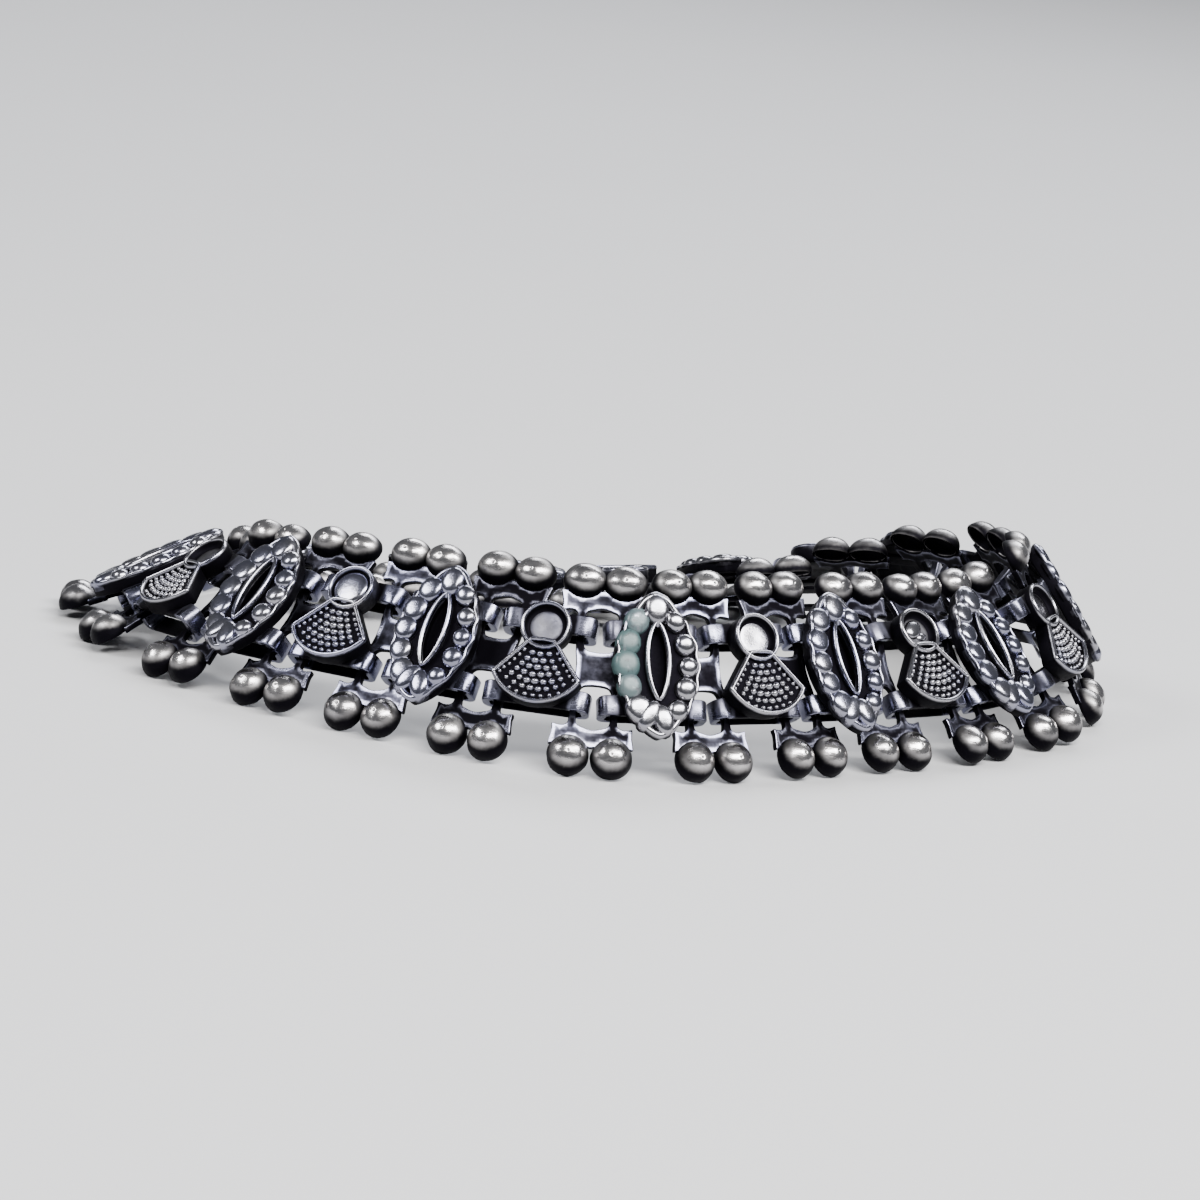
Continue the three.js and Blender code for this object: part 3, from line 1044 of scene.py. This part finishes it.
@dataclass
class Strap:
    """A closed strap round a window bar of the link on either side."""

    wall: float = 0.3  # thickness of its back
    end: float = 0.62  # thickness of its round ends
    front: float = 0.65  # thickness of the strand that carries the body
    tall: float = 1.56  # its height
    play: float = 0.3  # clear space between it and a bar
    rings: Pair = (0.8, 0.38)  # radius of its outer and its inner corners
    solid_tall: float = 1.3  # height of its solid

    def room(self, side: int, height: float, to_other: Matrix) -> np.ndarray:
        """The room that a bar takes up in another link's axes.

        Args:
            side: 1 for the bar at high x, -1 for the other.
            height: Of the strap.
            to_other: From the bar's link to the other one.

        Returns:
            The corners of the room.
        """
        half = self.solid_tall / 2
        return np.array([to_other @ Vector((side * x, y, z))
                         for x in (BALL.bar_x - BALL.bar_half - self.play, BALL.bar_out)
                         for y in (height - half, height + half)
                         for z in (-BALL.thick - self.play, BALL.thick + self.play)])

    def build(self, height: float, corners: np.ndarray, front: float) -> list[Shell]:
        """Builds the strap round a room.

        Args:
            height: Of its middle.
            corners: Of the room.
            front: Thickness of its front.

        Returns:
            Its skins.
        """
        low, high = corners.min(axis=0), corners.max(axis=0)
        outer = round_box((low[0] - self.end, low[2] - self.wall),
                          (high[0] + self.end, high[2] + 0.5 * (front + self.wall)),
                          self.rings[0])
        inner = round_box((low[0], low[2]), (high[0], high[2]), self.rings[1])[::-1]
        middle, half = (low[0] + high[0]) / 2, (high[0] - low[0]) / 2 + self.end

        def rub_and_shade(points: np.ndarray) -> np.ndarray:
            """Only the ends of the strap are rubbed; its middle, under the body, is kept dark,
            partly oxide and partly painted shade.
            """
            # Darker towards the middle: partly kept oxide, partly painted shade under the body
            return np.clip((np.abs(points[:, 0] - middle) - half + 1.9) / 0.7, 0.08, 1)

        plate = Plate(outer, [inner], -self.tall / 2, self.tall / 2, edge=0.1, step=0.4,
                      face_wear=0.25, edge_wear=0.75, wall_wear=0.75, rub_and_shade=rub_and_shade)
        place = Matrix(((1, 0, 0, 0), (0, 0, -1, height), (0, 1, 0, 0), (0, 0, 0, 1)))
        return [shell.moved(place) for shell in plate.shells()]


def lens_width(share: np.ndarray | float) -> Any:
    """Half the width of a lens at a share of its half length, as a share of the most."""
    return np.clip(1 - np.square(share), 0, 1) ** 0.74


@dataclass
class Leaf:
    """A lens-shaped leaf: a thin scalloped rim, beads down each side and a slit eye."""

    green: bool = False  # whether verdigris has grown on its left beads
    long: float = 5.65  # half its length
    wide: float = 3.3  # half its width
    back: float = 1.15  # z of its back
    ground: float = 2.1  # z of the ground between the lumps
    foot: float = 0.15  # how far the lumps reach into the ground
    beads: int = 5  # down each side
    pitch: float = 1.72  # from one bead to the next
    scallop: float = 0.09  # depth of the rim's scallops
    eye_y: float = 0.3  # middle of the eye
    eye_long: float = 2.75  # half its length
    eye_wide: float = 0.72  # half its width
    eye_floor: float = 1.55  # z of its floor
    floor_reach: float = 0.3  # how far the floor reaches under the leaf
    ridge: Triple = (0.12, 0.35, 0.28)  # of the eye's wires, out from the slit along x, y and z
    rim_in: float = 0.14  # from the edge to the middle of the rim's wire
    # The side, the inset from the edge and one bead of each row
    rows: tuple[tuple[int, float, Lump], ...] = (
        (-1, 0.72, Lump(0, 0, 2.63, 1.0, 1.16, fullness=0.42, wear=(0.25, 0.9))),
        (1, 0.8, Lump(0, 0, 2.79, 0.84, 0.92, fullness=0.58, wear=(0.0, 1.0))),
    )
    # The crest at the top, the two lobes under it and the two at the bottom
    tips: tuple[Lump, ...] = (
        Lump(0.02, 4.4, 2.74, 1.0, 1.3, wear=(0.3, 0.8)),
        Lump(-1.2, 3.55, 2.58, 0.5, 1.05, -36, 0.45, (0.3, 0.9)),
        Lump(1.2, 3.55, 2.58, 0.5, 1.05, 36, 0.45, (0.3, 0.9)),
        Lump(-0.78, -3.95, 2.68, 0.8, 1.4, -30),
        Lump(0.32, -4.3, 2.76, 0.85, 1.35, 12, 0.42),
    )
    # Points of the stem from the eye to the crest, with half its width and height
    stem: tuple[tuple[float, ...], ...] = (
        (0.0, 2.95, 2.3, 0.16, 0.2), (0.0, 3.7, 2.4, 0.34, 0.26), (0.02, 4.5, 2.36, 0.6, 0.26))
    # Middles of the small grains between the lumps
    grains: tuple[Pair, ...] = ((0.75, 3.3), (-0.75, 3.2), (0.5, -3.35))

    def shells(self, rng: Generator) -> list[Shell]:
        """Builds the leaf's body.

        Args:
            rng: Its own source of small differences.

        Returns:
            Its skins.
        """
        outline = self._lens(self.long, self.wide, 0)
        slit = self._lens(self.eye_long, self.eye_wide, self.eye_y)[::-1]
        under = self.floor_reach
        wide_slit = self._lens(self.eye_long + under, self.eye_wide + under, self.eye_y)
        body = Plate(outline, [slit], self.back, self.ground, edge=0.12, face_wear=0.0,
                     edge_wear=0.35, wall_wear=0.12)
        floor = Plate(wide_slit, [], self.back + 0.03, self.eye_floor, face_wear=0.0,
                      edge_wear=0.0, wall_wear=0.0)
        return [*body.shells(), *floor.shells(), self._rim(inset(outline, self.rim_in)),
                *self._eye(), *self._beads(rng), *self._tips(rng)]

    @staticmethod
    def _lens(long: float, wide: float, y: float) -> np.ndarray:
        """The outline of a lens, anticlockwise.

        Args:
            long: Half its length.
            wide: Half its width.
            y: Of its middle.

        Returns:
            Its points.
        """
        share = -np.cos(np.linspace(0, math.pi, 60))
        right = np.column_stack([wide * lens_width(share), y + long * share])
        return even(np.vstack([right, (right[1:-1] * (-1, 1))[::-1]]))

    def _rim(self, line: np.ndarray) -> Shell:
        """The scalloped wire round the leaf.

        Args:
            line: Its middle line before it is scalloped.

        Returns:
            The skin.
        """
        wave = self.scallop * np.cos(line[:, 1] / self.pitch * 2 * math.pi)
        line = line + wave[:, None] * np.sign(line[:, :1]) * (1, 0)
        tip = np.clip((np.abs(line[:, 1]) / self.long - 0.6) / 0.3, 0, 1)
        return wire(level(line, self.ground + 0.1), 0.13 + 0.16 * tip, 0.17 + 0.14 * tip,
                    closed=True)

    def _eye(self) -> list[Shell]:
        """The two wires round the slit, joined in points at both ends.

        Returns:
            Their skins.
        """
        share = np.linspace(-1, 1, 40)
        wide, long, high = self.ridge
        x = (self.eye_wide + wide) * lens_width(share)
        y = self.eye_y + (self.eye_long + long) * share
        thick = 0.12 + 0.1 * np.sqrt(np.clip(1 - share**2, 0, 1))
        return [wire(level(np.column_stack([side * x, y]), self.ground + high), thick,
                     thick * 1.5) for side in (-1, 1)]

    def _beads(self, rng: Generator) -> list[Shell]:
        """The beads down both sides.

        Args:
            rng: Source of small differences.

        Returns:
            Their skins.
        """
        made = []
        for side, margin, model in self.rows:
            for i in range(self.beads):
                y = (i - (self.beads - 1) / 2) * self.pitch
                edge = 0.95 * self.wide * lens_width(y / self.long)
                grow = rng.uniform(0.92, 1.08)
                bead = replace(model, x=side * (edge - margin), y=y + rng.uniform(-0.06, 0.06),
                               across=model.across * grow, along=model.along * grow,
                               turn=math.degrees(math.atan2(y * 0.62, self.long)) * side)
                bloom = 1.0 - 0.12 * abs(i - 2.5) if self.green and side < 0 and i > 0 else 0.0
                made.append(bead.shell(self.ground - self.foot, bloom))
        return made

    def _tips(self, rng: Generator) -> list[Shell]:
        """The crest with its stem, the lobes and the grains.

        Args:
            rng: Source of small differences.

        Returns:
            Their skins.
        """
        stem = np.array(self.stem)
        grains = [Lump(x + rng.uniform(-0.05, 0.05), y, 2.38, 0.15, 0.15, 0, 1.0, (0.05, 1.0),
                       sides=8, rows=4) for x, y in self.grains]
        crest, *lobes = [lump.shell(self.ground - self.foot) for lump in [*self.tips, *grains]]
        return [crest, wire(stem[:, :3], stem[:, 3], stem[:, 4], sides=12), *lobes]


class Cup(Enum):
    """What lies in the cup of a fan link."""

    FLAT = "flat"
    BRIGHT = "bright"
    DOMED = "domed"
    BROKEN = "broken"


@dataclass
class Fan:
    """A cup over a fan of granules, both inside a raised wire."""

    cup: Cup = Cup.FLAT  # what lies in its cup
    back: float = 1.15  # z of its back
    ground: float = 2.25  # z of the field inside the wire
    wire_z: float = 2.4  # z of the wire's middle
    wire_half: Pair = (0.17, 0.25)  # half its width and height
    # Of the body, the wire's middle and the granules from the outer edge
    margins: Triple = (0.04, 0.17, 0.42)
    arc: float = 3.9  # radius of the fan's lower edge
    arc_y: float = -0.15  # centre of that edge
    spread: float = 63.0  # degrees of it to either side of straight down
    neck: float = 0.95  # half width where the fan meets the cup
    neck_y: float = 1.2  # height of that place
    cup_y: float = 2.2  # middle of the cup
    cup_radius: float = 1.95  # its outer radius
    cup_sides: int = 40
    cup_wall: tuple[Triple, ...] = (  # inset, z and wear of points over the cup's wall
        (1.93, 1.15, 0.1), (0.05, 1.15, 0.1), (0.0, 1.2, 0.1), (0.0, 2.35, 0.3),
        (0.04, 2.53, 0.8), (0.1, 2.62, 1.0), (0.18, 2.65, 1.0), (0.27, 2.6, 0.9),
        (0.33, 2.49, 0.4), (0.38, 2.25, 0.0))
    disc: tuple[Triple, ...] = (  # radius, z and wear of points over a domed disc
        (1.49, 2.1, 0.0), (1.44, 2.3, 0.5), (1.34, 2.46, 0.9), (1.1, 2.54, 1.0),
        (0.6, 2.58, 1.0), (0.02, 2.59, 1.0))
    # Wear of the floor of a cup that holds no disc
    floors: dict[Cup, float] = field(default_factory=lambda: {
        Cup.FLAT: 0.55, Cup.BRIGHT: 1.0, Cup.BROKEN: 0.6})
    # What is left in a broken cup
    crumbs: tuple[Lump, ...] = (Lump(-0.3, 2.45, 2.35, 1.0, 0.75, 35, 0.5, (0.05, 1.0)),
                                Lump(0.35, 1.8, 2.2, 0.6, 0.4, 10, 0.6, (0.05, 1.0)))
    grain: float = 0.17  # radius of a granule by the wire
    swell: float = 0.1  # how much larger one in the middle is
    grain_pitch: float = 0.63  # from one granule to the next
    grain_rise: float = 0.56  # from one row of granules to the next
    grain_sweep: float = 4.4  # radius of the rows

    def shells(self, rng: Generator) -> list[Shell]:
        """Builds the fan's body.

        Args:
            rng: Its own source of small differences.

        Returns:
            Its skins.
        """
        outline = self._outline()
        edge, line, limit = (inset(outline, margin) for margin in self.margins)
        body = Plate(edge, [], self.back, self.ground, edge=0.05, face_wear=0.0,
                     edge_wear=0.1, wall_wear=0.12)
        border = wire(level(line, self.wire_z), *self.wire_half, closed=True, sides=12,
                      wear=(0.0, 1.0))
        return [*body.shells(), border, *self._cup(), *self._granules(rng, limit)]

    def _outline(self) -> np.ndarray:
        """The fan's outer edge with round shoulders, anticlockwise.

        Returns:
            Its outline.
        """
        angles = np.radians(np.linspace(-self.spread, self.spread, 25))
        points = [(self.arc * math.sin(a), self.arc_y - self.arc * math.cos(a)) for a in angles]
        x, y = points[-1]
        flank = [(x * (1 - share) + self.neck * share, y * (1 - share) + self.neck_y * share)
                 for share in (0.12, 0.5, 0.9, 1.0)]
        left = [(-x, y) for x, y in reversed(flank)]
        return even(rounded([*points, *flank, *left], 3))

    def _cup(self) -> list[Shell]:
        """The cup, with what lies in it.

        Returns:
            Their skins.
        """
        profile = [(self.cup_radius - margin, z, wear) for margin, z, wear in self.cup_wall]
        if self.cup is Cup.DOMED:
            profile += self.disc
        else:
            worn = self.floors[self.cup]
            profile += [(1.45, 2.05, 0.0), (1.29, 1.98, 0.05), (1.21, 2.0, worn * 0.7),
                        (0.95, 2.015, worn), (0.5, 2.0, worn), (0.02, 1.99, worn)]
        bowl = lathe(profile, self.cup_sides)
        bowl.points[:, 1] += self.cup_y
        crumbs = self.crumbs if self.cup is Cup.BROKEN else ()
        return [bowl, *(crumb.shell(1.9) for crumb in crumbs)]

    def _granules(self, rng: Generator, limit: np.ndarray) -> list[Shell]:
        """Curved rows of granules that fill the fan.

        Args:
            rng: Source of small differences.
            limit: The outline that they keep inside.

        Returns:
            Their skins.
        """
        lowest = self.arc_y - self.arc + 0.62
        spots = []
        for row in range(7):
            for column in range(-7, 8):
                x = (column + 0.5 * (row % 2)) * self.grain_pitch
                bend = self.grain_sweep - math.sqrt(max(0.0, self.grain_sweep**2 - x**2))
                spots.append((x, lowest + row * self.grain_rise + bend))
        flat = np.array(spots)
        clear = np.linalg.norm(flat - (0, self.cup_y), axis=1) > self.cup_radius + 0.2
        keep = inside(flat, [limit]) & clear
        made = []
        for (x, y), room in zip(flat[keep], nearest(flat, [limit])[keep]):
            size = self.grain + self.swell * min(1.0, room / 0.9) + rng.uniform(-0.015, 0.015)
            longer = 1.0 + 0.25 * math.exp(-(x / 1.2) ** 2)
            grain = Lump(x + rng.uniform(-0.03, 0.03), y + rng.uniform(-0.03, 0.03),
                         self.ground + size * 1.05, size * longer, size, 0, 0.9, (0.0, 1.0),
                         sides=10, rows=4)
            made.append(grain.shell(self.ground - 0.05))
        return made


@dataclass
class MotifLink:
    """A leaf or a fan that stands proud on two closed straps."""

    strap: Strap = field(default_factory=Strap)
    seed: int = 100  # of the small differences, with the link's number added

    def build(self, number: int, body: Leaf | Fan, place: Matrix, before: Matrix,
              after: Matrix) -> Casting:
        """Builds one motif link.

        Args:
            number: Its number along the loop.
            body: Its leaf or its fan.
            place: Its place.
            before: Place of the ball link before it.
            after: Place of the ball link after it.

        Returns:
            The casting.
        """
        kind = "leaf" if isinstance(body, Leaf) else "fan"
        casting = Casting(f"{kind}_link_{number:02d}", place)
        inverse = place.inverted()
        for height in (-BALL.strap_y, BALL.strap_y):
            corners = np.vstack([self.strap.room(1, height, inverse @ before),
                                 self.strap.room(-1, height, inverse @ after)])
            casting.add(self.strap.build(height, corners, self.strap.front), finish=1)
        casting.add(body.shells(default_rng(self.seed + number)))
        return casting


@dataclass
class Clasp:
    """A plain bar between two closed ends."""

    strap: Strap = field(default_factory=Strap)
    thick: float = 1.1  # of the bar
    tall: float = 0.9  # height of the bar
    sink: float = 0.27  # from the play in each end to the end of the bar's middle line

    def build(self, place: Matrix, before: Matrix, after: Matrix) -> Casting:
        """Builds the clasp.

        Args:
            place: Its place.
            before: Place of the ball link before it.
            after: Place of the ball link after it.

        Returns:
            The casting.
        """
        casting = Casting("clasp", place)
        inverse = place.inverted()
        strap, y = self.strap, -BALL.strap_y
        feet = []
        for side, neighbour in ((1, before), (-1, after)):
            to_here = inverse @ neighbour
            reach = side * (BALL.bar_x + BALL.bar_half + strap.play)
            corners = np.vstack([strap.room(side, y, Matrix.Identity(4)), (reach, y, 0)])
            made = strap.build(y, corners, strap.wall)
            casting.add([shell.moved(to_here) for shell in made], finish=1)
            feet.append(to_here @ Vector((reach + side * self.sink, y, 0)))
        along = feet[1] - feet[0]
        turn = Vector((1, 0, 0)).rotation_difference(along.normalized()).to_matrix().to_4x4()
        corners = np.array([(-1, -1), (1, -1), (1, 1), (-1, 1)]) * (along.length, self.tall) / 2
        bar = Plate(even(rounded(corners, 1, 0.02), 0.3), [], -self.thick / 2, self.thick / 2,
                    edge=0.12, face_wear=0.6, wall_wear=0.5)
        middle = Matrix.Translation((feet[0] + feet[1]) / 2)
        casting.add([shell.moved(middle @ turn) for shell in bar.shells()], finish=1)
        return casting


# ---- Light ----


@dataclass(frozen=True)
class SoftBox:
    """A soft studio light aimed at the middle of the bracelet."""

    name: str
    at: Triple  # its place, in metres
    size: Pair  # its width and height, in metres
    watts: float
    colour: Triple = (1.0, 1.0, 1.0)

    def build(self) -> None:
        """Makes the light."""
        data = bpy.data.lights.new(self.name, "AREA")
        data.shape = "RECTANGLE"
        data.size, data.size_y = self.size
        data.energy = self.watts
        data.color = self.colour
        lamp = stand(bpy.data.objects.new(self.name, data))
        lamp.location = self.at
        lamp.rotation_mode = "QUATERNION"
        lamp.rotation_quaternion = (-Vector(self.at)).to_track_quat("-Z", "Y")


@dataclass(frozen=True)
class Studio:
    """The soft boxes and the even light round them."""

    boxes: tuple[SoftBox, ...] = (
        SoftBox("key_box", (0.14, -0.30, 0.44), (0.46, 0.16), 6.3, (1.0, 0.99, 0.97)),
        SoftBox("side_box", (0.36, -0.16, 0.39), (0.2, 0.16), 2.6),
        SoftBox("left_box", (-0.40, -0.12, 0.34), (0.22, 0.16), 2.4),
        SoftBox("back_box", (0.12, 0.42, 0.42), (0.5, 0.2), 4.0, (0.94, 0.96, 1.0)),
    )
    sky: Colour = (0.9, 0.93, 1.0, 1)  # colour of the even light
    sky_strength: float = 0.18

    def build(self) -> None:
        """Makes the lights."""
        for box in self.boxes:
            box.build()
        world = bpy.data.worlds.new("studio")
        world.use_nodes = True
        background = world.node_tree.nodes["Background"]
        background.inputs["Color"].default_value = self.sky
        background.inputs["Strength"].default_value = self.sky_strength
        bpy.context.scene.world = world


# ---- The bracelet ----


@dataclass
class Bracelet:
    """All the links, in order round the loop."""

    loop: Loop = field(default_factory=Loop)
    ball_link: BallLink = field(default_factory=BallLink)
    motif_link: MotifLink = field(default_factory=MotifLink)
    clasp: Clasp = field(default_factory=Clasp)
    clasp_after: int = 21  # number of the ball link before the clasp
    seed: int = 22  # of each piece's own shade
    # Motifs unlike the others, by link number. Plain leaves have even numbers, plain fans odd
    special: dict[int, Leaf | Fan] = field(default_factory=lambda: {
        3: Fan(Cup.DOMED), 6: Leaf(green=True), 7: Fan(Cup.BRIGHT), 9: Fan(Cup.BROKEN),
        11: Fan(Cup.BRIGHT)})

    def build(self) -> list[bpy.types.Object]:
        """Builds and dresses every link.

        Returns:
            The pieces.
        """
        silvers = (DOME_SILVER, PLATE_SILVER, RELIEF_SILVER)
        dome, sheet, relief = (silver.material() for silver in silvers)
        places = [self.loop.ball_place(k + 1) for k in range(self.loop.ball_links)]
        rng = default_rng(self.seed)
        pieces = []
        for number, before in enumerate(places, 1):
            after = places[number % len(places)]
            between = self.loop.motif_place(before, after)
            ball = self.ball_link.build(before, number)
            pieces.append(ball.make([dome, sheet], "polished_silver", rng.random()))
            if number == self.clasp_after:
                clasp = self.clasp.build(between, before, after)
                pieces.append(clasp.make([dome, sheet], "polished_silver", rng.random()))
            else:
                body = self.special.get(number, Fan() if number % 2 else Leaf())
                motif = self.motif_link.build(number, body, between, before, after)
                pieces.append(motif.make([relief, sheet], "oxidised_silver", rng.random()))
        return pieces


def main() -> None:
    """Builds the camera, the bracelet, the floor and the light."""
    logging.basicConfig(level=logging.INFO, format="%(message)s")
    Camera().build()
    for piece in Bracelet().build():
        log.info("%s: %d faces", piece.name, len(piece.data.polygons))
    PaleFloor().build()
    Studio().build()


if __name__ == "__main__":
    main()
